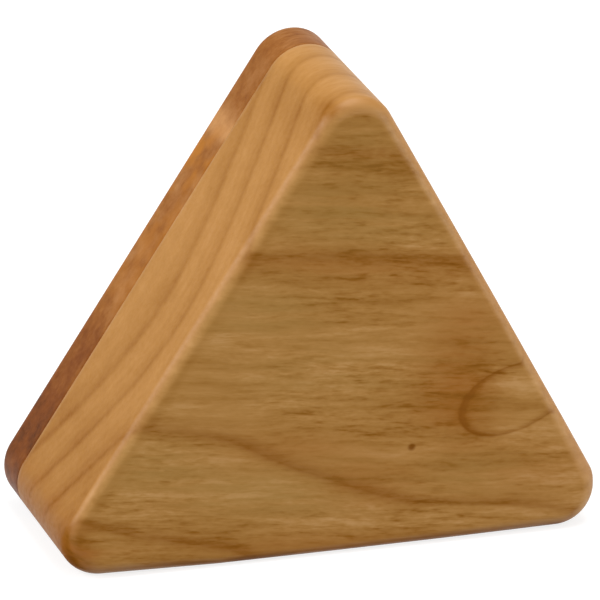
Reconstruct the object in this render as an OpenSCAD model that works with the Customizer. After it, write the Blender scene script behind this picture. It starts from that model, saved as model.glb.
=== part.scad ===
// Triangular wooden shaker: a hardwood block pocketed from behind, a glued rear plate that closes it,
// and loose steel shot in the pocket.
// Millimetres. X runs to the right, Y from the front face to the rear face, Z up from the base.
// The origin is at the middle of the base.

/* [Body] */
// Overall width across the two base corners
body_w = 112; // [95:1:140]
// Overall height from the base to the apex
body_h = 97; // [82:1:125]
// Overall depth from the front face to the rear face
body_d = 41; // [38:0.5:60]
// Rounding of the three corners, seen from the front
corner_r = 8.5; // [6:0.5:12]
// Rounding of the front and rear rims
rim_r = 2.5; // [1:0.25:4]

/* [Pocket] */
// Thickness of the base and of the two sloping walls
side_wall = 9; // [6:0.5:12]
// Thickness of the front wall
front_wall = 6; // [4:0.5:8]
// Corner radius of the pocket, left by the router bit
pocket_r = 6; // [4:0.5:8]

/* [Rear plate] */
// Thickness of the glued rear plate
plate_t = 10.5; // [6:0.5:13]

/* [Shot] */
// Diameter of one steel ball
shot_d = 4.5; // [3:0.1:5]
// Least gap round a ball at rest
shot_gap = 0.25; // [0.2:0.05:0.4]
// Balls across the width of the pocket floor
shot_columns = 10; // [4:1:10]
// Balls from the front wall to the rear plate
shot_rows = 4; // [2:1:4]

/* [Hidden] */
$fn = 96;
// How far a cut runs past the face that it opens
overcut = 1;
// How far each rounding arc overruns the flats beside it, which leaves a fine arris where they meet
arris = 0.03;
// Reach of the corner rounding cut, in corner radii, past the sharp corner that it takes off
corner_reach = 3;
// Turn from one ball to the next in the scatter, in degrees
scatter_turn = 137.5;

// The plane where the block and the rear plate meet
joint_y = body_d / 2 - plate_t;
block_d = body_d - plate_t;
pocket_d = block_d - front_wall;

// Centres of the body's lower corner arcs, and of its apex arc
corner_x = body_w / 2 - corner_r - arris;
corner_low = corner_r;
corner_high = body_h - corner_r - arris;

// Slope of the two inclined sides
base_angle = atan2(corner_high - corner_low, corner_x);

// Centres of a triangle's three corner arcs, moved inwards from the body's own by inset:
// left, right, apex, counterclockwise
function corner_centres(inset) =
    let (x = corner_x - inset / tan(base_angle / 2))
    [[-x, corner_low + inset], [x, corner_low + inset], [0, corner_high - inset / cos(base_angle)]];

body_corners = corner_centres(0);
pocket_corners = corner_centres(side_wall + pocket_r - corner_r);

// Edge i runs from corner i to the next one
function next(i) = (i + 1) % 3;
function before(i) = (i + 2) % 3;
function edge(c, i) = c[next(i)] - c[i];
function heading(c, i) = atan2(edge(c, i).y, edge(c, i).x);
function turn(c, i) = (heading(c, i) - heading(c, before(i)) + 360) % 360;

// The balls lie one to a cell on the pocket floor, each scattered inside its own cell
shot_count = shot_columns * shot_rows;
shot_r = shot_d / 2;
floor_w = 2 * pocket_corners[1].x + shot_d;
cell_w = floor_w / shot_columns;
cell_d = pocket_d / shot_rows;
floor_z = side_wall;
function scatter(i) = sin(scatter_turn * i);
function play(cell) = (cell - shot_d) / 2 - shot_gap;
function shot_x(i) =
    (i % shot_columns + 0.5) * cell_w - floor_w / 2 + play(cell_w) * scatter(i);
function shot_y(i) =
    joint_y - (floor(i / shot_columns) + 0.5) * cell_d + play(cell_d) * scatter(i * i);
function shot_name(i) = str("shot_", i < 9 ? "0" : "", i + 1);

// The point where edges i and the one before it would meet if each lay at a distance r outside its centres
function sharp_corner(c, r, i) =
    let (a = heading(c, before(i)) - 90, half = turn(c, i) / 2)
    c[i] + r / cos(half) * [cos(a + half), sin(a + half)];

// What rounding a rim takes away beyond a half section of thickness r and height depth
module rim_waste(r, depth, rim) {
    translate([r - rim, depth - rim])
        difference() {
            square(rim + overcut);
            circle(rim + arris);
        }
}

// What rounding a corner takes away beyond the same half section
module corner_waste(r, depth) {
    translate([r, -overcut]) square([corner_reach * r, depth + 2 * overcut]);
}

// Triangle with round corners of radius r about the centres c, rising from z = 0 to depth,
// its top rim rounded by rim, or left square where rim is 0
module soft_triangle(c, r, depth, rim) {
    difference() {
        linear_extrude(depth) polygon([for (i = [0 : 2]) sharp_corner(c, r, i)]);
        for (i = [0 : 2]) {
            if (rim > 0)
                translate(c[next(i)])
                    rotate([90, 0, heading(c, i) - 90])
                        translate([0, 0, -corner_reach * r])
                            linear_extrude(norm(edge(c, i)) + 2 * corner_reach * r)
                                rim_waste(r, depth, rim);
            translate(c[i])
                rotate(heading(c, before(i)) - 90)
                    rotate_extrude(angle = turn(c, i)) {
                        corner_waste(r + arris, depth);
                        if (rim > 0) rim_waste(r + arris, depth, rim);
                    }
        }
    }
}

// Stands a shape drawn flat on XY up on its base at the joint plane, with its own Z turned to the front,
// or to the rear when it is turned half round
module stand(turned = 0) {
    translate([0, joint_y, 0]) rotate([90, 0, turned]) children();
}

module body_block() {
    color("peru")
        stand() difference() {
            soft_triangle(body_corners, corner_r, block_d, rim_r);
            translate([0, 0, -overcut])
                soft_triangle(pocket_corners, pocket_r, pocket_d + overcut, 0);
        }
}

module rear_plate() {
    color("sienna")
        stand(turned = 180) soft_triangle(body_corners, corner_r, plate_t, rim_r);
}

module shot(i) {
    color("silver")
        translate([shot_x(i), shot_y(i), floor_z + shot_gap + shot_r])
            sphere(shot_r);
}

body_block();
rear_plate();
for (i = [0 : shot_count - 1])
    shot(i);
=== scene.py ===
import bpy
import math
import numpy as np
from mathutils import Matrix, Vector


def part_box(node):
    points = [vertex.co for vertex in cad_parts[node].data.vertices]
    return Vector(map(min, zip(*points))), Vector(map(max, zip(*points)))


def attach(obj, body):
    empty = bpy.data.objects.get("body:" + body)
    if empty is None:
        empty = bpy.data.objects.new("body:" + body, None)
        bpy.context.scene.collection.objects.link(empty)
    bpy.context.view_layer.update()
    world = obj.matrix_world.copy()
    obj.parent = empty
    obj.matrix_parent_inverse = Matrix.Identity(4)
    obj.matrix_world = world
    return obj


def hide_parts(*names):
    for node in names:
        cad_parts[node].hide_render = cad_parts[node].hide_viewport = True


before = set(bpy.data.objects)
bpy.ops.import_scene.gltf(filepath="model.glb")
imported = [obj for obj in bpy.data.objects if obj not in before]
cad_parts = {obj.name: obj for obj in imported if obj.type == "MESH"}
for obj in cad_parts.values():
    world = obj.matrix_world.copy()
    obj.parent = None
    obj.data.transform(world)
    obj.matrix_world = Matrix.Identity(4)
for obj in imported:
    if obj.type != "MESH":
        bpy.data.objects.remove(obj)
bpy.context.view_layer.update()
print("frame loaded:", len(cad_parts), "solids")

mmPerMetre = 1000
quarterTurn = math.pi / 2

# Sizes in millimetres, read from the solids' own boxes where they show there
blockLow, blockHigh = [np.array(corner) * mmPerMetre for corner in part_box("body_block")]
plateHigh = np.array(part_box("rear_plate")[1]) * mmPerMetre
shakerForm = {
    "halfWidth": blockHigh[0],
    "height": blockHigh[2],
    "frontY": blockLow[1],
    "jointY": blockHigh[1],             # where the block and the rear plate are glued
    "rearY": plateHigh[1],
    "middleZ": blockHigh[2] * 0.36,     # height of the point from which each face's rows spread
    "cornerRadius": 8.5,                # nominal rounding of the corners, seen from the front
    "sandedRadius": [8.35, 8.0, 8.5],   # as sanded: left, right, top
    "sideWall": 9.0,
    "frontWall": 6.0,
    "pocketRadius": 6.0,
    "perEdge": 104,                     # columns along each straight side
    "perCorner": 30,                    # columns round each corner
}


# Centres of the corner arcs, left, right and top: an inset moves a corner inwards from both of its sides, so
# a base corner slides by the inset over the tangent of half its angle, and the top sinks by the inset over
# the slope's cosine
def cornerCentres(form, insets):
    left, right, top = np.broadcast_to(insets, 3)
    radius = form["cornerRadius"]
    x, low, high = form["halfWidth"] - radius, radius, form["height"] - radius
    slope = math.atan2(high - low, x)
    slide = 1 / math.tan(slope / 2)
    return np.array([[left * slide - x, low + left],
                     [x - right * slide, low + right],
                     [0, high - top / math.cos(slope)]])


arcSpan, sideSpan = 1, 2                # what each corner's arc and each straight side count for on the lap


# One lap round a round-cornered triangle, counterclockwise from the front: on an arc the weight stays on one
# corner and the normal turns, on a side the weight slides from one corner to the next and the normal stays. A
# place on the lap counts the arcs and sides passed, from the top of the left corner's arc
def walkTriangle(form):
    centres = cornerCentres(form, 0)
    run = np.roll(centres, -1, axis=0) - centres
    heading = np.arctan2(run[:, 1], run[:, 0])
    turn = (heading - np.roll(heading, 1)) % (2 * math.pi)
    onArc = np.arange(form["perCorner"])[:, None] / form["perCorner"]
    onSide = np.arange(form["perEdge"])[:, None] / form["perEdge"]
    unit = np.eye(3)
    weights, angles, places = [], [], []
    for corner in range(3):
        start = heading[corner - 1] - quarterTurn
        passed = corner * (arcSpan + sideSpan)
        weights += [unit[corner] + 0 * onArc, (1 - onSide) * unit[corner] + onSide * unit[(corner + 1) % 3]]
        angles += [start + turn[corner] * onArc[:, 0], start + turn[corner] + 0 * onSide[:, 0]]
        places += [passed + arcSpan * onArc[:, 0], passed + arcSpan + sideSpan * onSide[:, 0]]
    angles = np.concatenate(angles)
    normals = np.stack([np.cos(angles), np.sin(angles)], axis=1)
    return np.vstack(weights), normals, np.concatenate(places)


lapWeights, lapNormals, lapPlaces = walkTriangle(shakerForm)
sanded = np.array(shakerForm["sandedRadius"])
bodyCentres = cornerCentres(shakerForm, sanded - shakerForm["cornerRadius"])
bodyReach = lapWeights @ sanded
pocketCentres = cornerCentres(
    shakerForm, shakerForm["sideWall"] + shakerForm["pocketRadius"] - shakerForm["cornerRadius"])


# A row of the surface: every point of the lap lies at its base point plus reach along its normal, at depth y
def lapRow(centres, reach, y):
    flat = lapWeights @ centres + np.broadcast_to(reach, len(lapNormals))[:, None] * lapNormals
    return np.stack([flat[:, 0], y + 0 * flat[:, 0], flat[:, 1]], axis=1)


# A size that changes round the lap, straight from one listed place to the next
def roundLap(table):
    places, sizes = zip(*table)
    return np.interp(lapPlaces, places, sizes, period=3 * (arcSpan + sideSpan))


# Equal steps from 0 to an end, without the 0
def stepsTo(end, count):
    return np.linspace(0, end, count + 1)[1:]


# A soft bevel from 0 to 1 in both directions: a circle's sine and cosine raised to 2 over the rim's power
def bevelSteps(power, count):
    turn = stepsTo(quarterTurn, count)[:, None]
    return zip(np.sin(turn) ** (2 / power), np.maximum(np.cos(turn), 0) ** (2 / power))


crownFlatness = 6                       # the higher, the longer a face stays flat before it falls away
crispAngle = 32                         # degrees of turn above which an edge is shaded as an edge


# Rows that grow from a middle to an edge row, each a share of the way, plus a crown that falls away with a
# high power of the share; share 0 is left to the pole
def faceRows(edgeRow, middle, steps, crown=0.0):
    share = stepsTo(1, steps)[:, None, None]
    rows = middle + share * (edgeRow - middle)
    rows[..., 1] += crown * (1 - share[..., 0] ** crownFlatness)
    return rows


# A closed skin from rows of equal length: quads between neighbouring rows, wrapped at the seam, and a fan of
# triangles from each end row to its pole
def skinFromRows(name, rows, firstPole, lastPole):
    count, lap = rows.shape[:2]
    points = np.vstack([firstPole, rows.reshape(-1, 3), lastPole]) / mmPerMetre
    grid = 1 + np.arange(count * lap).reshape(count, lap)
    ahead = np.roll(grid, -1, axis=1)
    quads = np.stack([grid[:-1], grid[1:], ahead[1:], ahead[:-1]], axis=-1).reshape(-1, 4)
    first, last = np.zeros(lap, int), np.full(lap, count * lap + 1)
    firstFan = np.stack([first, grid[0], ahead[0]], axis=1)
    lastFan = np.stack([last, ahead[-1], grid[-1]], axis=1)
    mesh = bpy.data.meshes.new(name)
    mesh.from_pydata(points.tolist(), [], quads.tolist() + firstFan.tolist() + lastFan.tolist())
    mesh.shade_smooth()
    mesh.set_sharp_from_angle(angle=math.radians(crispAngle))
    piece = bpy.data.objects.new(name, mesh)
    bpy.context.scene.collection.objects.link(piece)
    return piece, points * mmPerMetre


# Writes one number per point under a name that a material can read
def writeField(piece, name, values):
    field = piece.data.attributes.new(name, "FLOAT", "POINT")
    field.data.foreach_set("value", np.ascontiguousarray(values, dtype=np.float32))


bodyBlock = {
    # hand-rounded front rim by place on the lap: 0 to 1 is the left corner's arc, 3 to 4 the right one's and
    # 6 to 7 the top one's
    "rimRound": [(0, 2.0), (0.5, 4.2), (1, 3.7), (1.5, 2.4), (2, 2.5), (2.5, 2.8), (3, 3.5), (3.8, 4.0),
                 (4.3, 2.6), (5, 2.2), (5.6, 2.5), (6, 3.0), (6.5, 3.0), (7, 2.9), (7.25, 2.8), (8, 2.7),
                 (8.6, 2.3)],
    "rimPower": [(0, 1.9), (0.5, 1.65), (6.5, 1.65), (7.2, 2.0)],   # 2 is a quarter circle, 1 a flat bevel
    "jointArris": 0.12,               # the broken edge along the glue line
    "faceCrown": 0.12,                # the sanded front falls away this much towards its rim
    "pocketFillet": 0.6,
    "faceSteps": 64,
    "rimSteps": 12,
    "sideSteps": 30,
    "arrisSteps": 3,
    "gluedSteps": 8,
    "wallSteps": 16,
    "filletSteps": 5,
    "floorSteps": 20,
}


# Front pole, front face, softly bevelled rim, straight side, glue-line arris, glued face, pocket wall and
# fillet, pocket floor, pole: each part is a stack of laps whose reach and depth follow the part's profile
def makeBlock(form, look):
    frontY, jointY, arris, crown = form["frontY"], form["jointY"], look["jointArris"], look["faceCrown"]
    rim = roundLap(look["rimRound"])
    flatReach = bodyReach - rim
    middle = np.array([0, frontY, form["middleZ"]])
    front = faceRows(lapRow(bodyCentres, flatReach, frontY + crown), middle + [0, crown, 0],
                     look["faceSteps"], -crown)
    bevel = [lapRow(bodyCentres, flatReach + rim * out, frontY + crown + (rim - crown) * (1 - up))
             for out, up in bevelSteps(roundLap(look["rimPower"]), look["rimSteps"])]
    side = [lapRow(bodyCentres, bodyReach, (frontY + rim) * (1 - s) + (jointY - arris) * s)
            for s in stepsTo(1, look["sideSteps"])]
    edge = [lapRow(bodyCentres, bodyReach - arris + arris * math.cos(a), jointY - arris + arris * math.sin(a))
            for a in stepsTo(quarterTurn, look["arrisSteps"])]
    reach, fillet = form["pocketRadius"], look["pocketFillet"]
    floorY = frontY + form["frontWall"]
    mouth = lapRow(pocketCentres, reach, jointY)
    glued = [edge[-1] + (mouth - edge[-1]) * s for s in stepsTo(1, look["gluedSteps"])]
    wall = [lapRow(pocketCentres, reach, jointY * (1 - s) + (floorY + fillet) * s)
            for s in stepsTo(1, look["wallSteps"])]
    hollow = [lapRow(pocketCentres, reach - fillet * (1 - math.cos(a)), floorY + fillet * (1 - math.sin(a)))
              for a in stepsTo(quarterTurn, look["filletSteps"])]
    floorMiddle = np.array([0, floorY, form["middleZ"]])
    floor = faceRows(hollow[-1], floorMiddle, look["floorSteps"])[-2::-1]
    lacquered = np.vstack([front, bevel, side, edge])
    rows = np.vstack([lacquered, glued, wall, hollow, floor])
    piece, points = skinFromRows("bodyBlock", rows, middle, floorMiddle)
    # the glued face and the pocket are bare wood, so their faces take the second material
    lap = len(lapNormals)
    bareRows = np.arange(len(rows) - 1) >= len(lacquered) - 1
    bare = np.concatenate([np.repeat(bareRows, lap), np.zeros(lap), np.ones(lap)])
    piece.data.polygons.foreach_set("material_index", bare.astype(np.int32))
    return piece, points


rearPlate = {
    # the rear rim, by the same places
    "rimRound": [(0, 2.1), (1, 2.9), (3, 2.3), (4, 2.2), (6, 1.4), (7, 2.2)],
    "rimPower": [(0, 1.8)],
    "jointArris": 0.12,
    "faceCrown": 0.10,
    "gluedSteps": 16,
    "arrisSteps": 3,
    "sideSteps": 10,
    "rimSteps": 12,
    "faceSteps": 56,
}


# Glued pole, glued face, glue-line arris, straight side, softly bevelled rear rim, rear face, rear pole, all
# stacked in the same way
def makePlate(form, look):
    rearY, jointY, arris, crown = form["rearY"], form["jointY"], look["jointArris"], look["faceCrown"]
    rim = roundLap(look["rimRound"])
    middle = np.array([0, jointY, form["middleZ"]])
    rearMiddle = np.array([0, rearY, form["middleZ"]])
    glued = faceRows(lapRow(bodyCentres, bodyReach - arris, jointY), middle, look["gluedSteps"])
    edge = [lapRow(bodyCentres, bodyReach - arris + arris * math.sin(a), jointY + arris * (1 - math.cos(a)))
            for a in stepsTo(quarterTurn, look["arrisSteps"])]
    side = [lapRow(bodyCentres, bodyReach, (jointY + arris) * (1 - s) + (rearY - rim) * s)
            for s in stepsTo(1, look["sideSteps"])]
    bevel = [lapRow(bodyCentres, bodyReach - rim + rim * inward, rearY - rim + (rim - crown) * back)
             for back, inward in bevelSteps(roundLap(look["rimPower"]), look["rimSteps"])]
    rear = faceRows(bevel[-1], rearMiddle - [0, crown, 0], look["faceSteps"], crown)[-2::-1]
    return skinFromRows("rearPlate", np.vstack([glued, edge, side, bevel, rear]), middle, rearMiddle)


blockPiece, blockPoints = makeBlock(shakerForm, bodyBlock)
platePiece, platePoints = makePlate(shakerForm, rearPlate)
print("skins made:", len(blockPoints), "and", len(platePoints), "points")

blockGrowth = {
    "crestZ": 41.5,              # height of the rings' crest at x = 0
    "crestDrop": -0.227,         # the crest falls to the right
    "crestRound": 13.3,          # how round the crest is
    "flankSlope": 0.546,         # slope of the rings away from the crest
    "lean": [1.8, -3.5],         # the rings shift to the rear on the left and to the front on the right
    "leanMiddle": -24.8,
    "leanSpread": 31.3,
    "ringStep": 9.66,
    "ringStart": -4.0,           # depth of the first ring's dark edge at the crest
    "heartStretch": 0.55,        # rings behind the first one are wider
    "loopCentre": [34.9, 28.8],  # a swelling that brings one ring out of the front face as a loop
    "loopSize": [16.3, 9.6],
    "loopTilt": 29.3,
    "loopLift": 6.6,
    "loopSteepness": 0.8,
    # how far the lowest ring on the front dips, by x; the dip fades out between two heights and with depth
    "frontDip": [(-41, 1.45), (-31, 0.7), (-22, 0.1), (-9, 0.6), (4, 0.85), (16, 0.6), (25, 0)],
    "dipFade": (36, 46),
    "dipDepth": 2.5,
}


# A step from 0 to 1 between two values, eased at both ends
def easedStep(values, low, high):
    share = np.clip((values - low) / (high - low), 0, 1)
    return share * share * (3 - 2 * share)


# Growth rings as depth behind a curved crest: y less a hyperbola in the height above the crest line, less a
# lean that eases from left to right, plus a rounded swelling and a dip low on the front that dies out behind
# it. One unit is one ring, counted towards the front
def blockRings(points, growth):
    x, y, z = points.T
    rise = z - growth["crestZ"] - growth["crestDrop"] * x
    bow = np.sqrt(growth["crestRound"] ** 2 + (growth["flankSlope"] * rise) ** 2) - growth["crestRound"]
    ease = 0.5 + 0.5 * np.tanh((x - growth["leanMiddle"]) / growth["leanSpread"])
    lean = growth["lean"][0] + (growth["lean"][1] - growth["lean"][0]) * ease
    tilt = math.radians(growth["loopTilt"])
    dx, dz = x - growth["loopCentre"][0], z - growth["loopCentre"][1]
    along = (dx * math.cos(tilt) + dz * math.sin(tilt)) / growth["loopSize"][0]
    across = (dz * math.cos(tilt) - dx * math.sin(tilt)) / growth["loopSize"][1]
    swelling = growth["loopLift"] * np.exp(-growth["loopSteepness"] * (along ** 2 + across ** 2))
    fadeLow, fadeHigh = growth["dipFade"]
    dip = np.interp(x, *zip(*growth["frontDip"])) * easedStep(-z, -fadeHigh, -fadeLow)
    dip = dip * np.exp((y.min() - y) / growth["dipDepth"])
    count = (growth["ringStart"] - (y - bow - lean + swelling + dip)) / growth["ringStep"]
    return np.where(count < 0, count * growth["heartStretch"], count)


# Areas of the block as soft ellipses: x, z, half width, half height and amount
blockAreas = {
    "fall": 0.105,               # how steeply they fall to the right, with the grain
    "front": [                   # darkness of the front
        (2, 62, 30, 4, 0.13), (10, 62, 10, 2.5, 0.08), (-6, 65, 12, 3, 0.08),        # upper band
        (0, 86, 16, 6, 0.16), (2, 75, 13, 6, 0.14), (1, 94, 6, 3, 0.17),             # top
        (25, 32, 8, 12, 0.35), (14, 30, 7, 6, 0.12), (28, 35, 5, 4, 0.08),           # round the loop
        (28, 22, 6, 4, 0.10), (37, 29, 5, 5, -0.10),                                 # below and inside it
        (50, 9, 8, 8, -0.14), (32, 16, 13, 5, -0.14), (12, 17, 12, 4, -0.08),        # pale low right
        (-26, 47, 14, 8, -0.10), (-24, 34, 12, 6, -0.16), (-36, 38, 7, 8, -0.12),    # pale left half
        (-43, 26, 5, 6, -0.08), (-26, 23, 9, 4, -0.14), (-16, 16, 14, 4, -0.20), (4, 28, 8, 5, -0.04),
        (-38, 13, 12, 4, 0.06), (-45, 9, 7, 5, -0.07), (-30, 5, 16, 4, -0.06), (-4, 10, 22, 4, -0.07),
        (0, 2, 60, 3, 0.08), (-53.5, 7, 3, 5, 0.26),                                 # foot and left corner
    ],
    # darkness of the front beside the rim, of the sides, and of the sides beside the rim
    "lip": [(-24, 70, 9, 9, 0.16), (-45, 15, 6, 4, 0.07), (-38, 40, 22, 40, 0.12)],
    "side": [(-54, 6, 14, 12, 0.18), (-52, 2, 8, 8, 0.22), (-48, 24, 8, 8, 0.10), (-24, 66, 9, 9, -0.08),
             (-9, 91.5, 5, 4, 0.13), (52, 6, 16, 12, 0.14), (2, 97, 10, 8, -0.16)],
    "sideEdge": [(-5.3, 94.8, 2.8, 2.4, 0.46), (-55.5, 7, 3, 5, 0.20), (-50, 17, 6, 8, 0.20)],
    # darkness of the rounded rim, painted shade on the rim below the front, and where the rim has lost polish
    # and rings
    # the lighter place low on the left rim is a painted highlight; the other places darken the rim
    "ridgeAndHighlight": [(-51, 17, 5, 8, -0.46), (-54, 6, 4.5, 5, 0.26), (2, 93.5, 6, 4, 0.24)],
    # painted shade: the rim below the front is darker where it faces down
    "base": [(-28, 3, 20, 10, 0.62), (20, 0, 30, 10, 0.66)],
    "dull": [(-54, 5, 4.5, 5, 0.80)],
    # redder and greener places
    "warm": [(24, 34, 9, 12, 1.0), (44, 14, 14, 8, 0.4), (6, 62, 30, 4, 0.6), (0, 84, 9, 4, 0.2),
             (-54, 6, 4, 6, 1.7), (0, 2, 60, 3, 0.5), (-8, 24, 14, 3.5, 0.5), (8, 15, 9, 5, 0.7),
             (26, 48, 8, 6, 0.5)],
    "olive": [(-40, 24, 12, 5, 0.8), (-18, 54, 14, 6, 0.8), (28, 15, 10, 5, 0.5), (-4, 40, 18, 6, 0.6),
              (0, 74, 16, 7, 0.9), (-14, 15, 20, 5, 0.9), (0, 88, 8, 5, 0.6)],
    # where ring lines and fibres on the front stand out or fade
    "ring": [(24, 30, 7, 10, 1.3), (-34, 30, 12, 7, -0.15), (32, 7, 15, 5, -0.35)],
    "fibre": [(-30, 40, 16, 9, -0.75), (-10, 50, 16, 6, -0.35), (20, 50, 9, 6, -0.40), (36, 29, 6, 5, -0.50),
              (-22, 30, 9, 4, -0.30), (34, 14, 13, 8, -0.62), (6, 18, 17, 9, -0.50), (4, 63, 20, 4, 0.30)],
}

# Where one kind of surface turns into another, each pair from none of it to all of it, and what that changes
blockShares = {
    "longGrain": (0.58, 0.90),   # by how squarely the surface faces the front or the base
    "fibre": (0.86, 0.985),      # in the same way
    "front": (0.4, 0.9),         # by how squarely it faces the front
    "base": (0.05, 0.6),         # by how far it faces down
    "right": (0.05, 0.45),       # by how far it faces right
    "fibreInset": (1.2, 4.8),    # millimetres from the outline over which the fibres come back
    "fibreLoss": 0.8,            # how much of them is lost at the outline
    "lipInset": 2.9,             # millimetres from the outline to the strip beside the rim, and its width
    "lipWidth": 1.0,
    "edgeDepth": 6,              # millimetres behind the front over which the sides' edge areas die out
    "lateRings": [(2.2, 1.0), (2.5, 0.75)],      # the foremost rings are fainter
    "topFade": (48, 58),         # and so are those at the top of the front
    "topLoss": 0.45,
    "faceCrisp": 2.6,            # ring lines are crisper on the front, and crispest at the loop
    "loopCrisp": 8.0,
    "loopSpread": 0.3,
    "rightRingLoss": 0.8,        # ring lines lost on the right rim
    "rightPolishLoss": 0.42,     # polish lost on the right rim and on the rim below
    "basePolishLoss": 0.6,
}


# Sum of the areas of one kind, each its amount times a bell curve along and across the grain
def bellAreas(points, areas, kind):
    x, z = points[:, 0, None], points[:, 2, None]
    cx, cz, wide, high, amount = np.array(areas[kind], float).T
    fallen = z - cz + areas["fall"] * (x - cx)
    return (amount * np.exp(-((x - cx) / wide) ** 2 - (fallen / high) ** 2)).sum(axis=1)


# How far each point lies inside the outline: the least distance to the three straight sides
def insetFromSides(points, form):
    centres = cornerCentres(form, 0)
    run = np.roll(centres, -1, axis=0) - centres
    outward = np.stack([run[:, 1], -run[:, 0]], axis=1) / np.linalg.norm(run, axis=1)[:, None]
    beyond = ((points[:, None, [0, 2]] - centres) * outward).sum(axis=2)
    return (form["cornerRadius"] - beyond).min(axis=1)


# Which way each point of a piece faces
def pointNormals(piece):
    flat = np.empty(len(piece.data.vertices) * 3, np.float32)
    piece.data.vertex_normals.foreach_get("vector", flat)
    return flat.reshape(-1, 3)


# The block's numbers per point. Shares come from the way a point faces: the rim's share is twice sine times
# cosine of its turn from the front, so it peaks half way round the rim. Each kind of area counts only on its
# own surface, so it is multiplied by that share
def writeBlockFields(piece, points, form, growth, areas, share):
    towardsX, towardsY, towardsZ = pointNormals(piece).T
    facing = np.abs(towardsY)
    longGrain = np.maximum(facing, -towardsZ)      # the front and the base show long grain
    inset = insetFromSides(points, form)
    faceShare = easedStep(longGrain, *share["longGrain"])
    frontShare = easedStep(facing, *share["front"])
    rightShare = easedStep(towardsX, *share["right"])
    lipShare = frontShare * np.exp(-((inset - share["lipInset"]) / share["lipWidth"]) ** 2)
    rimShare = 2 * facing * np.sqrt(np.maximum(1 - facing ** 2, 0))
    halfWay = math.sqrt(0.5)
    rimShare = np.where(facing > halfWay, rimShare ** 2, rimShare)      # fades sooner to the front
    # the rim below the front, which faces down and is painted in shade
    baseShadeShare = rimShare * easedStep(-towardsZ, *share["base"])
    edgeShare = np.exp((points[:, 1].min() - points[:, 1]) / share["edgeDepth"])
    polish = 1 - bellAreas(points, areas, "dull")

    ringCount = blockRings(points, growth)
    ringWeight = np.interp(ringCount, *zip(*share["lateRings"]))
    ringWeight *= 1 + faceShare * bellAreas(points, areas, "ring")
    ringWeight *= 1 - share["topLoss"] * faceShare * easedStep(points[:, 2], *share["topFade"])
    ringWeight *= polish * (1 - share["rightRingLoss"] * rightShare * rimShare)
    loopShare = np.exp(-((ringCount - 1) / share["loopSpread"]) ** 2)
    fibreShare = easedStep(longGrain, *share["fibre"]) * (1 + bellAreas(points, areas, "fibre"))
    fibreLoss = share["fibreLoss"] * (1 - easedStep(inset, *share["fibreInset"]))
    front = bellAreas(points, areas, "front") + lipShare * bellAreas(points, areas, "lip")
    side = bellAreas(points, areas, "side") + edgeShare * bellAreas(points, areas, "sideEdge")
    polish = polish * (1 - share["rightPolishLoss"] * rightShare) * (1 - share["basePolishLoss"] * baseShadeShare)

    writeField(piece, "ringCount", ringCount)
    writeField(piece, "ringWeight", ringWeight)
    writeField(piece, "ringCrisp", 1 + faceShare * (share["faceCrisp"] + share["loopCrisp"] * loopShare))
    writeField(piece, "faceShare", faceShare)
    writeField(piece, "fibreShare", fibreShare * (1 - frontShare * fibreLoss))
    writeField(piece, "rimShare", rimShare * polish)
    # the front's darkness areas, plus painted shade on the rim below the front
    writeField(piece, "darkAreaAndShade", front + baseShadeShare * bellAreas(points, areas, "base"))
    # the sides' darkness areas, and the rim's, with a painted highlight low on the left rim
    writeField(piece, "sideAreaAndHighlight", side + rimShare * bellAreas(points, areas, "ridgeAndHighlight"))
    writeField(piece, "oliveArea", bellAreas(points, areas, "olive"))
    writeField(piece, "warmArea", bellAreas(points, areas, "warm"))


plateTones = {
    # by height, where 0 is pale tan and 1 dark red-brown
    "bands": [(0, 0.88), (22, 0.86), (30, 0.71), (34, 0.68), (38, 0.76), (41, 0.52), (46, 0.45), (50, 0.45),
              (56, 0.54), (61, 0.48), (65, 0.50), (69, 0.46), (74, 0.55), (76.5, 0.42), (78.5, 0.02),
              (80, 0.02), (82.5, 0.42), (85, 0.53), (97, 0.56)],
    "orange": [(73, 5, 1.1), (57, 15, 0.6)],     # height, spread and amount of the orange patches
    "endGrain": (0.2, 0.8),                      # by how squarely the surface faces left or right
}


# The plate's numbers per point: its band by height, the orange as bell curves in height, and the share of end
# grain by the way a point faces
def writePlateFields(piece, points, tones):
    z = points[:, 2]
    middle, spread, amount = np.array(tones["orange"], float).T
    writeField(piece, "bandTone", np.interp(z, *zip(*tones["bands"])))
    writeField(piece, "orangeArea", (amount * np.exp(-((z[:, None] - middle) / spread) ** 2)).sum(axis=1))
    writeField(piece, "endShare", easedStep(np.abs(pointNormals(piece)[:, 0]), *tones["endGrain"]))


writeBlockFields(blockPiece, blockPoints, shakerForm, blockGrowth, blockAreas, blockShares)
writePlateFields(platePiece, platePoints, plateTones)
print("growth rings and colour areas written")


# Adds one shader node: settings are its properties, inputs are numbers or the sockets that feed it
def addNode(tree, kind, inputs=None, **settings):
    node = tree.nodes.new(kind)
    for key, value in settings.items():
        setattr(node, key, value)
    for key, value in (inputs or {}).items():
        if isinstance(value, bpy.types.NodeSocket):
            tree.links.new(value, node.inputs[key])
        else:
            node.inputs[key].default_value = value
    return node


# Arithmetic on up to three sockets or numbers
def calc(tree, operation, *values, clamp=False):
    node = addNode(tree, "ShaderNodeMath", dict(enumerate(values)), operation=operation, use_clamp=clamp)
    return node.outputs[0]


# Arithmetic on one or two vectors: the vector that comes out, and the number
def vectorCalc(tree, operation, *vectors):
    return addNode(tree, "ShaderNodeVectorMath", dict(enumerate(vectors)), operation=operation).outputs


# A number rescaled from one range to another, held inside it and eased at both ends
def easeBetween(tree, value, low, high, lowTo=0.0, highTo=1.0):
    return addNode(tree, "ShaderNodeMapRange", {0: value, 1: low, 2: high, 3: lowTo, 4: highTo},
                   interpolation_type="SMOOTHSTEP").outputs[0]


# Two colours mixed by a share
def mixColours(tree, share, first, second, blend="MIX"):
    node = addNode(tree, "ShaderNodeMix", {0: share, 6: first, 7: second}, data_type="RGBA", blend_type=blend)
    return node.outputs[2]


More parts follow.
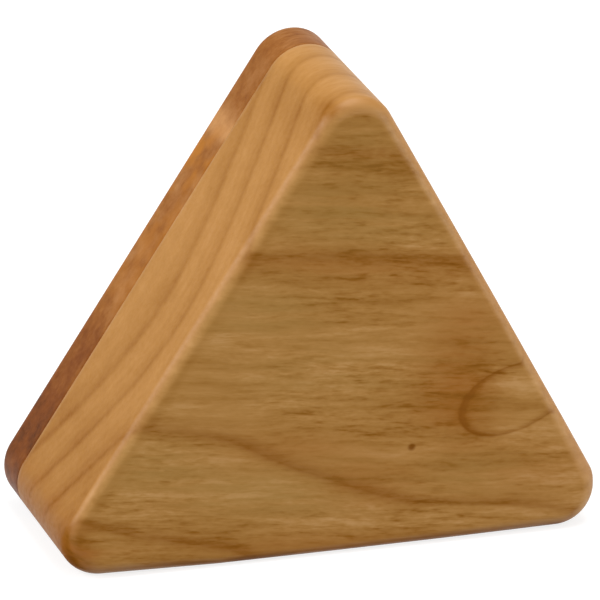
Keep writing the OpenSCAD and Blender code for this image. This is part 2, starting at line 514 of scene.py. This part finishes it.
# Object coordinates in millimetres, turned about the depth axis by the degrees that make x follow the grain
def objectPlace(tree, turn=0.0):
    coords = addNode(tree, "ShaderNodeTexCoord").outputs["Object"]
    return addNode(tree, "ShaderNodeMapping", {"Vector": coords, "Scale": (mmPerMetre,) * 3,
                                               "Rotation": (0, math.radians(turn), 0)}).outputs[0]


# Cloudy noise at a place stretched by one factor per axis, as a number from 0 to 1
def clouds(tree, place, factors, detail=2.0, roughness=0.5):
    stretched = vectorCalc(tree, "MULTIPLY", place, factors)[0]
    return addNode(tree, "ShaderNodeTexNoise", {"Vector": stretched, "Scale": 1.0, "Detail": detail,
                                                "Roughness": roughness}).outputs[0]


# The noise of one layer of grain; a layer's last two numbers are its waves per millimetre along the grain and
# across it
def grain(tree, place, layer, detail=2.0, roughness=0.5):
    along, across = layer[-2:]
    return clouds(tree, place, (along, across, across), detail, roughness)


vesselEdge = (0.12, 0.40)               # how far from a cell's middle a vessel fades


# Short vessels: cells drawn out along the grain, strongest at their middles, of which only some show
def vessels(tree, place, layer, hidden):
    along, across = layer[-2:]
    drawnOut = vectorCalc(tree, "MULTIPLY", place, (along, across, across))[0]
    inputs = {"Vector": drawnOut, "Scale": 1.0, "Randomness": 1.0}
    cells = addNode(tree, "ShaderNodeTexVoronoi", inputs).outputs
    middle = easeBetween(tree, cells["Distance"], *vesselEdge, 1.0, 0.0)
    pick = addNode(tree, "ShaderNodeSeparateColor", {0: cells["Color"]}).outputs[0]
    return calc(tree, "MULTIPLY", middle, easeBetween(tree, pick, hidden, 1.0))


# A number of the piece's own, by name
def readField(tree, name):
    return addNode(tree, "ShaderNodeAttribute", attribute_name=name).outputs["Fac"]


# An empty material with its node tree
def newMaterial(name):
    material = bpy.data.materials.new(name)
    material.use_nodes = True
    material.node_tree.nodes.clear()
    return material, material.node_tree


# A colour read off a ramp by a number; each stop is a place and a colour
def rampColour(tree, value, stops):
    node = addNode(tree, "ShaderNodeValToRGB", {0: value})
    ramp = node.color_ramp
    while len(ramp.elements) < len(stops):
        ramp.elements.new(0.5)
    for element, (position, colour) in zip(ramp.elements, stops):
        element.position = position
        element.color = (*colour, 1)
    return node.outputs[0]


# Adds an amount times how far a noise lies from its middle
def addSwing(tree, total, noise, amount):
    return calc(tree, "MULTIPLY_ADD", calc(tree, "SUBTRACT", noise, 0.5), amount, total)


# Relief from a height, with its strength and its depth in metres
def relief(tree, height, strength, depth):
    inputs = {"Strength": strength, "Distance": depth, "Height": height}
    return addNode(tree, "ShaderNodeBump", inputs).outputs[0]


lacquer = {
    "fibreFrom": (0.3, 0.75),             # where the fine noise turns from between the fibres to a fibre
    "fibreHeight": -0.5,
    "vesselHeight": -1.0,
    "relief": (0.2, 0.00006),             # strength, and depth in metres
}


# Satin lacquer: a little rougher on the fibres than between them, and sunk into fibres and vessels
def satin(tree, fine, vessel, roughness):
    gloss = easeBetween(tree, fine, *lacquer["fibreFrom"], *roughness)
    height = calc(tree, "MULTIPLY", fine, lacquer["fibreHeight"])
    height = calc(tree, "MULTIPLY_ADD", vessel, lacquer["vesselHeight"], height)
    return gloss, relief(tree, height, *lacquer["relief"])


# Ends a material with its surface
def endSurface(tree, inputs):
    shader = addNode(tree, "ShaderNodeBsdfPrincipled", inputs)
    addNode(tree, "ShaderNodeOutputMaterial", {0: shader.outputs[0]})


blockWood = {
    "grainTurn": -6.0,                        # degrees; below 0 the fibres fall to the right on the front
    "colours": [(0.0, (0.500, 0.275, 0.095)), (0.25, (0.412, 0.207, 0.052)), (0.50, (0.335, 0.154, 0.027)),
                (0.75, (0.250, 0.096, 0.006)), (1.0, (0.178, 0.060, 0.001))],   # by darkness
    "darkness": (0.30, 0.380),                # mean of the end grain on the sides and of the long-grain front
    "endTint": (1.0, 0.93, 0.86, 1),          # end grain drinks more lacquer and turns to orange
    "olive": (0.345, 0.190, 0.044, 1),
    "oliveByStreak": (0.35, 0.60, 0.15, 0.75),     # two levels of the streaks, and the share of olive at each
    "warm": (0.335, 0.122, 0.016, 1),
    "warmByStreak": (0.40, 0.70, 0.70, 0.15),
    "warmOnEnd": 0.45,                        # share of the warm areas that shows on end grain
    # darkness across one ring, and how much of it shows on end grain and front
    "ringProfile": [(0.0, 0.80), (0.06, 0.44), (0.14, 0.17), (0.24, 0.03), (0.40, 0.0), (0.62, 0.16),
                    (0.82, 0.48), (0.93, 0.92), (0.97, 1.0), (1.0, 0.80)],
    "ringDarkness": (0.26, 0.32),
    "ringRed": (0.215, 0.066, 0.003, 1),
    "ringReddening": 0.30,
    "linesBetween": 4,                        # finer lines in each ring of the end grain, and their darkness
    "lineBetween": 0.022,
    # layers of grain: amount on end grain and front, waves per millimetre along and across
    "ringFeather": (0.04, 0.03, 0.05, 0.80),
    "ringBend": (0.07, 0.03, 0.04, 0.10),
    "longStreak": (0.2375, 0.95, 0.035, 0.42),
    "flame": (0.225, 0.75, 0.02, 0.16),
    # layers of fibre: amount everywhere, and what the front's fibres add to it
    "fineFibre": (0.12, 0.52, 0.22, 1.40),
    "shortFibre": (0.06, 0.30, 0.66, 1.80),
    "midFibre": (0.06, 0.46, 0.10, 0.80),
    "vessel": (0.02, 0.18, 0.24, 1.40),
    "vesselsHidden": 0.5,
    "darkFibre": 0.12,                        # what the darkest fine fibres add
    "darkFibreFrom": (0.54, 0.68),
    "patchy": (0.55, 1.20, 0.03, 0.11),       # the fibres hide in some places and stand out in others
    "patchyFrom": (0.36, 0.64),
    "wander": (1.4, 0.06, 0.10),              # millimetres within which they stray from a straight line
    # pin knot: its middle and its tail's, how dark they are, and the radius over which they fade
    "knotPlace": (15.2, 0.0, 22.0),
    "tailPlace": (16.9, 0.0, 22.4),
    "tailShape": (0.4, 0, 1.8),
    "knotDarkness": 0.48,
    "tailDarkness": 0.20,
    "knotFade": (0.2, 1.1),
    "knotBrown": (0.185, 0.058, 0.002, 1),
    "knotStain": 0.8,
    "roughness": (0.36, 0.46),                # between the fibres and on them
    "rimRoughness": 0.12,                     # what handling adds on the rim
    "sheen": (0.12, 0.18),                    # of the thirsty end grain and the front
    "rimSheen": 0.34,
    "sheenByThirst": (0.1, 0.5, 1.0, 0.3),    # it sinks in on stained end grain and on dark fibres
    "sheenByDarkness": (0.55, 0.95, 1.0, 0.35),
}


# Wood from Object coordinates in millimetres: one darkness adds up rings from the piece's ring count, which
# streaky noise feathers, broad areas, fibres and streaks drawn out along the grain, and short vessels; a ramp
# turns the darkness into colour. Where the surface faces along the grain, fibres fade to end-grain specks
def makeBlockWood(look):
    material, tree = newMaterial("lacqueredBlockWood")
    place = objectPlace(tree, look["grainTurn"])
    faceShare = readField(tree, "faceShare")
    endShare = calc(tree, "SUBTRACT", 1.0, faceShare)

    # rings
    ringCount = readField(tree, "ringCount")
    for layer, detail in [(look["ringFeather"], 3.0), (look["ringBend"], 2.0)]:
        amount = easeBetween(tree, faceShare, 0, 1, *layer[:2])
        ringCount = addSwing(tree, ringCount, grain(tree, place, layer, detail), amount)
    profile = [(at, (level,) * 3) for at, level in look["ringProfile"]]
    rings = rampColour(tree, calc(tree, "FRACT", ringCount), profile)
    rings = calc(tree, "POWER", rings, readField(tree, "ringCrisp"))
    rings = calc(tree, "MULTIPLY", rings, readField(tree, "ringWeight"))
    between = calc(tree, "COSINE", calc(tree, "MULTIPLY", ringCount, look["linesBetween"] * 2 * math.pi))
    ringShare = easeBetween(tree, faceShare, 0, 1, *look["ringDarkness"])
    lineShare = calc(tree, "MULTIPLY", endShare, look["lineBetween"])
    darkness = easeBetween(tree, faceShare, 0, 1, *look["darkness"])
    # the front's areas carry painted shade on the rim below it, and the sides' areas a painted highlight on
    # the left rim
    for layer, share in [(rings, ringShare), (between, lineShare),
                         (readField(tree, "darkAreaAndShade"), faceShare), (readField(tree, "sideAreaAndHighlight"), endShare)]:
        darkness = calc(tree, "MULTIPLY_ADD", layer, share, darkness)

    # fibres and streaks
    stray = addSwing(tree, 0.0, grain(tree, place, look["wander"], detail=1.0), look["wander"][0])
    stray = addNode(tree, "ShaderNodeCombineXYZ", {2: stray}).outputs[0]
    place = vectorCalc(tree, "ADD", place, stray)[0]
    patchy = easeBetween(tree, grain(tree, place, look["patchy"]), *look["patchyFrom"], *look["patchy"][:2])
    fibreShare = calc(tree, "MULTIPLY", readField(tree, "fibreShare"), patchy)
    fine = grain(tree, place, look["fineFibre"])
    short = grain(tree, place, look["shortFibre"], detail=1.0)
    middling = grain(tree, place, look["midFibre"], detail=3.0)
    for noise, layer in [(fine, "fineFibre"), (short, "shortFibre"), (middling, "midFibre")]:
        everywhere, onFibre = look[layer][:2]
        amount = calc(tree, "MULTIPLY_ADD", fibreShare, onFibre, everywhere)
        darkness = addSwing(tree, darkness, noise, amount)
    darkFibre = calc(tree, "MULTIPLY", easeBetween(tree, fine, *look["darkFibreFrom"]), fibreShare)
    darkness = calc(tree, "MULTIPLY_ADD", darkFibre, look["darkFibre"], darkness)
    streak = grain(tree, place, look["longStreak"], detail=4.0, roughness=0.55)
    flame = grain(tree, place, look["flame"])
    for noise, layer in [(streak, "longStreak"), (flame, "flame")]:
        darkness = addSwing(tree, darkness, noise, easeBetween(tree, faceShare, 0, 1, *look[layer][:2]))
    vessel = vessels(tree, place, look["vessel"], look["vesselsHidden"])
    everywhere, onFibre = look["vessel"][:2]
    vesselShare = calc(tree, "MULTIPLY_ADD", fibreShare, onFibre, everywhere)
    darkness = calc(tree, "MULTIPLY_ADD", vessel, vesselShare, darkness)

    # pin knot, seen from the front
    flat = vectorCalc(tree, "MULTIPLY", objectPlace(tree), (1, 0, 1))[0]
    fromKnot = vectorCalc(tree, "DISTANCE", flat, look["knotPlace"])[1]
    knot = easeBetween(tree, fromKnot, *look["knotFade"], 1.0, 0.0)
    tail = vectorCalc(tree, "SUBTRACT", flat, look["tailPlace"])[0]
    tail = vectorCalc(tree, "MULTIPLY", tail, look["tailShape"])[0]
    tail = easeBetween(tree, vectorCalc(tree, "LENGTH", tail)[1], *look["knotFade"], 1.0, 0.0)
    darkness = calc(tree, "MULTIPLY_ADD", knot, look["knotDarkness"], darkness)
    darkness = calc(tree, "MULTIPLY_ADD", tail, look["tailDarkness"], darkness)

    # colour
    colour = rampColour(tree, darkness, look["colours"])
    oliveShare = calc(tree, "MULTIPLY", readField(tree, "oliveArea"), faceShare)
    oliveShare = calc(tree, "MULTIPLY", oliveShare, easeBetween(tree, streak, *look["oliveByStreak"]))
    warmShare = easeBetween(tree, faceShare, 0, 1, look["warmOnEnd"], 1.0)
    warmShare = calc(tree, "MULTIPLY", readField(tree, "warmArea"), warmShare)
    warmShare = calc(tree, "MULTIPLY", warmShare, easeBetween(tree, streak, *look["warmByStreak"]))
    redShare = calc(tree, "MULTIPLY", rings, easeBetween(tree, faceShare, 0, 1, 0.0, look["ringReddening"]))
    knotShare = calc(tree, "MULTIPLY", knot, look["knotStain"])
    tones = [(oliveShare, "olive"), (warmShare, "warm"), (redShare, "ringRed"), (knotShare, "knotBrown")]
    for share, tone in tones:
        colour = mixColours(tree, share, colour, look[tone])
    colour = mixColours(tree, endShare, colour, look["endTint"], blend="MULTIPLY")

    # lacquer
    rimShare = readField(tree, "rimShare")
    gloss, bump = satin(tree, fine, vessel, look["roughness"])
    gloss = calc(tree, "MULTIPLY_ADD", rimShare, look["rimRoughness"], gloss)
    sheen = easeBetween(tree, faceShare, 0, 1, *look["sheen"])
    sheen = calc(tree, "MULTIPLY_ADD", rimShare, look["rimSheen"], sheen)
    thirst = calc(tree, "MULTIPLY", readField(tree, "sideAreaAndHighlight"), endShare)
    sheen = calc(tree, "MULTIPLY", sheen, easeBetween(tree, thirst, *look["sheenByThirst"]))
    sheen = calc(tree, "MULTIPLY", sheen, easeBetween(tree, darkness, *look["sheenByDarkness"]))
    endSurface(tree, {"Base Color": colour, "Roughness": gloss, "Normal": bump, "Specular IOR Level": sheen})
    return material


bareWood = {
    "pale": (0.520, 0.330, 0.150, 1),
    "dark": (0.330, 0.180, 0.066, 1),
    "fibre": (0.06, 1.2),                     # waves per millimetre along and across the grain
    "darkFrom": (0.35, 0.7),                  # where the noise turns to dark, and to rough
    "roughFrom": (0.3, 0.7),
    "roughness": (0.72, 0.9),
    "cutterPitch": 3.2,
    "cutterWander": 0.6,
    "cutterHeight": 0.4,                      # of its passes, where the fibres' height is 1
    "relief": (0.4, 0.0001),                  # strength, and depth in metres
}


# Unfinished routed wood: drawn-out fibres, and the cutter's passes as faint waves across the pocket
def makeBareWood(look):
    material, tree = newMaterial("bareRoutedWood")
    place = objectPlace(tree)
    fibre = grain(tree, place, look["fibre"], detail=4.0)
    colour = mixColours(tree, easeBetween(tree, fibre, *look["darkFrom"]), look["pale"], look["dark"])
    passes = addNode(tree, "ShaderNodeTexWave",
                     {"Vector": place, "Scale": 1 / look["cutterPitch"], "Distortion": look["cutterWander"],
                      "Detail": 1.0},
                     bands_direction="Z").outputs[1]
    rough = easeBetween(tree, fibre, *look["roughFrom"], *look["roughness"])
    height = calc(tree, "MULTIPLY_ADD", passes, look["cutterHeight"], fibre)
    bump = relief(tree, height, *look["relief"])
    endSurface(tree, {"Base Color": colour, "Roughness": rough, "Normal": bump})
    return material


plateWood = {
    "grainTurn": 3.0,
    "colours": [(0.0, (0.490, 0.240, 0.086)), (0.3, (0.360, 0.157, 0.048)), (0.55, (0.262, 0.092, 0.016)),
                (0.8, (0.172, 0.046, 0.005)), (1.0, (0.090, 0.024, 0.003))],   # by darkness
    "orange": (0.420, 0.155, 0.018, 1),
    "orangeFrom": (0.36, 0.62),               # where the noise turns to orange
    "orangePatch": (0.62, 0.15, 0.22),        # amount, waves per millimetre along and across the grain
    "mottle": (0.75, 0.16, 0.26),
    # amount on long grain and end grain, waves per millimetre along and across
    "fineFibre": (0.55, 0.165, 0.10, 1.3),
    "longStreak": (0.45, 0.135, 0.03, 0.4),
    "vessel": (0.22, 0.044, 0.16, 1.8),
    "vesselsHidden": 0.35,
    "roughness": (0.36, 0.46),
    "sheen": 0.055,
}


# Darker, redder wood: bands by height, mottled a few millimetres across, with fibres, streaks and vessels,
# and orange patches where noise and the orange area meet
def makePlateWood(look):
    material, tree = newMaterial("lacqueredPlateWood")
    place = objectPlace(tree, look["grainTurn"])
    endShare = readField(tree, "endShare")
    mottle = grain(tree, place, look["mottle"], detail=4.0, roughness=0.6)
    darkness = addSwing(tree, readField(tree, "bandTone"), mottle, look["mottle"][0])
    fine = grain(tree, place, look["fineFibre"], detail=3.0, roughness=0.6)
    streak = grain(tree, place, look["longStreak"], detail=4.0, roughness=0.55)
    for noise, layer in [(fine, "fineFibre"), (streak, "longStreak")]:
        darkness = addSwing(tree, darkness, noise, easeBetween(tree, endShare, 0, 1, *look[layer][:2]))
    vessel = vessels(tree, place, look["vessel"], look["vesselsHidden"])
    vesselShare = easeBetween(tree, endShare, 0, 1, *look["vessel"][:2])
    darkness = calc(tree, "MULTIPLY_ADD", vessel, vesselShare, darkness)
    colour = rampColour(tree, darkness, look["colours"])
    patches = easeBetween(tree, grain(tree, place, look["orangePatch"], detail=1.5), *look["orangeFrom"])
    orangeShare = calc(tree, "MULTIPLY", readField(tree, "orangeArea"), patches)
    orangeShare = calc(tree, "MULTIPLY", orangeShare, look["orangePatch"][0])
    colour = mixColours(tree, orangeShare, colour, look["orange"])
    gloss, bump = satin(tree, fine, vessel, look["roughness"])
    endSurface(tree, {"Base Color": colour, "Roughness": gloss, "Normal": bump,
                      "Specular IOR Level": look["sheen"]})
    return material


shotSteel = {
    "bright": (0.66, 0.66, 0.67, 1),
    "dull": (0.40, 0.39, 0.38, 1),
    "dust": (0.8, 0.8, 0.8),                  # waves per millimetre of the dull patches and of the scratches
    "scratch": (9.0, 1.2, 2.0),
    "dustFrom": (0.42, 0.68),                 # where the noise turns to dust, and wear to rough
    "wearFrom": (0.2, 0.8),
    "roughness": (0.16, 0.42),
    "relief": (0.15, 0.00002),                # strength, and depth in metres
}


# Ground steel: fine scratches and dull, dusty patches a millimetre or so across
def makeShotSteel(look):
    material, tree = newMaterial("groundSteelShot")
    place = objectPlace(tree)
    dust = easeBetween(tree, clouds(tree, place, look["dust"], detail=4.0), *look["dustFrom"])
    scratch = clouds(tree, place, look["scratch"], detail=3.0)
    colour = mixColours(tree, dust, look["bright"], look["dull"])
    wear = calc(tree, "MULTIPLY_ADD", scratch, 0.5, calc(tree, "MULTIPLY", dust, 0.5))
    rough = easeBetween(tree, wear, *look["wearFrom"], *look["roughness"])
    bump = relief(tree, scratch, *look["relief"])
    endSurface(tree, {"Base Color": colour, "Metallic": 1.0, "Roughness": rough, "Normal": bump})
    return material


blockPiece.data.materials.append(makeBlockWood(blockWood))
blockPiece.data.materials.append(makeBareWood(bareWood))
platePiece.data.materials.append(makePlateWood(plateWood))
for piece, node, slot in [(blockPiece, "body_block", "body_wood"), (platePiece, "rear_plate", "plate_wood")]:
    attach(piece, "body")
    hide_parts(node)
steel = makeShotSteel(shotSteel)
shotNodes = [node for name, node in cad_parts.items() if name.startswith("shot_")]
for node in shotNodes:
    node.data.materials.clear()
    node.data.materials.append(steel)
print("finishes made for the block, the plate and", len(shotNodes), "balls")

studio = {
    "floorSize": 6.0,
    "floorLines": 3,            # lines of points across the floor
    "floorGrey": 0.40,          # how much of the floor's brightness comes from the lamps
    "floorGlow": (0.75, 1.0),   # the rest, which the camera sees as white: near the part and far from it
    "glowSpread": (0.35, 1.60),
    "skyLight": 0.44,
    "aim": (0, 0, 0.045),       # the middle of the part
    "lamps": [                  # place, size and watts of each soft box
        ("keyBox", (-1.06, -0.08, 0.62), 0.80, 9.0),
        ("topBox", (0.05, -0.05, 1.05), 0.60, 5.6),
        ("fillBox", (0.30, -1.30, 0.45), 0.90, 4.6),
        ("sideBox", (0.98, -0.42, 0.22), 0.60, 3.4),
    ],
}


# 1 for what the camera sees, straight, in gloss or through glass, and 0 for light that falls on the part
def seenShare(tree):
    path = addNode(tree, "ShaderNodeLightPath").outputs
    seen = calc(tree, "ADD", path["Is Camera Ray"], path["Is Glossy Ray"])
    return calc(tree, "ADD", seen, path["Is Transmission Ray"], clamp=True)


# A flat square floor under the base: a matte grey takes the shadows, and a glow that grows with the distance
# lifts it to white where it is seen
def makeFloor(look):
    half, lines = look["floorSize"] / 2, look["floorLines"]
    line = np.linspace(-half, half, lines)
    x, y = np.meshgrid(line, line)
    points = np.stack([x, y, 0 * x], axis=-1).reshape(-1, 3)
    grid = np.arange(lines * lines).reshape(lines, lines)
    quads = np.stack([grid[:-1, :-1], grid[:-1, 1:], grid[1:, 1:], grid[1:, :-1]], axis=-1).reshape(-1, 4)
    mesh = bpy.data.meshes.new("studioFloor")
    mesh.from_pydata(points.tolist(), [], quads.tolist())
    floor = bpy.data.objects.new("studioFloor", mesh)
    bpy.context.scene.collection.objects.link(floor)
    material, tree = newMaterial("paleFloor")
    matte = addNode(tree, "ShaderNodeBsdfDiffuse", {"Color": (*[look["floorGrey"]] * 3, 1)}).outputs[0]
    away = vectorCalc(tree, "LENGTH", addNode(tree, "ShaderNodeTexCoord").outputs["Object"])[1]
    level = easeBetween(tree, away, *look["glowSpread"], *look["floorGlow"])
    level = calc(tree, "MULTIPLY", seenShare(tree), level)
    glow = addNode(tree, "ShaderNodeEmission", {"Strength": level}).outputs[0]
    both = addNode(tree, "ShaderNodeAddShader", {0: matte, 1: glow}).outputs[0]
    addNode(tree, "ShaderNodeOutputMaterial", {0: both})
    mesh.materials.append(material)


# A world that is white where it is seen, and a plain level of light on the part
def makeWorld(look):
    world = bpy.data.worlds.new("whiteStudio")
    world.use_nodes = True
    tree = world.node_tree
    tree.nodes.clear()
    level = addNode(tree, "ShaderNodeMapRange", {0: seenShare(tree), 3: look["skyLight"], 4: 1.0}).outputs[0]
    sky = addNode(tree, "ShaderNodeBackground", {"Color": (1, 1, 1, 1), "Strength": level}).outputs[0]
    addNode(tree, "ShaderNodeOutputWorld", {0: sky})
    bpy.context.scene.world = world


# Axes of something at a spot that looks against the direction back: right is level, up follows, and both are
# turned by roll
def lookAlong(spot, back, roll=0.0):
    right = np.cross(-back, [0, 0, 1])
    right = right / np.linalg.norm(right)
    up = np.cross(right, -back)
    axes = np.eye(4)
    axes[:3, 0] = math.cos(roll) * right + math.sin(roll) * up
    axes[:3, 1] = math.cos(roll) * up - math.sin(roll) * right
    axes[:3, 2] = back
    axes[:3, 3] = spot
    return Matrix(axes.tolist())


# Round soft boxes, each turned to the aim
def makeLamps(look):
    for name, spot, size, watts in look["lamps"]:
        lamp = bpy.data.lights.new(name, "AREA")
        lamp.shape, lamp.size, lamp.energy = "DISK", size, watts
        holder = bpy.data.objects.new(name, lamp)
        bpy.context.scene.collection.objects.link(holder)
        back = np.array(spot) - np.array(look["aim"])
        holder.matrix_world = lookAlong(spot, back / np.linalg.norm(back))


photoView = {
    "azimuth": -21.436,
    "elevation": 23.567,
    "roll": 3.331,
    "distance": 1.5,
    "target": (-0.002178, 0.0, 0.046635),
    "lens": 455.71,
    "sensor": 36.0,
}


# A long lens on a sphere round the target: back points from the target to the camera
def makeCamera(look):
    a, e = math.radians(look["azimuth"]), math.radians(look["elevation"])
    back = np.array([math.sin(a) * math.cos(e), -math.cos(a) * math.cos(e), math.sin(e)])
    spot = np.array(look["target"]) + back * look["distance"]
    data = bpy.data.cameras.new("photoCamera")
    data.lens, data.sensor_width = look["lens"], look["sensor"]
    camera = bpy.data.objects.new("photoCamera", data)
    bpy.context.scene.collection.objects.link(camera)
    camera.matrix_world = lookAlong(spot, back, math.radians(look["roll"]))
    bpy.context.scene.camera = camera


makeFloor(studio)
makeWorld(studio)
makeLamps(studio)
makeCamera(photoView)
bpy.context.scene.view_settings.view_transform = "Standard"
print("studio and camera ready")

bpy.context.view_layer.update()
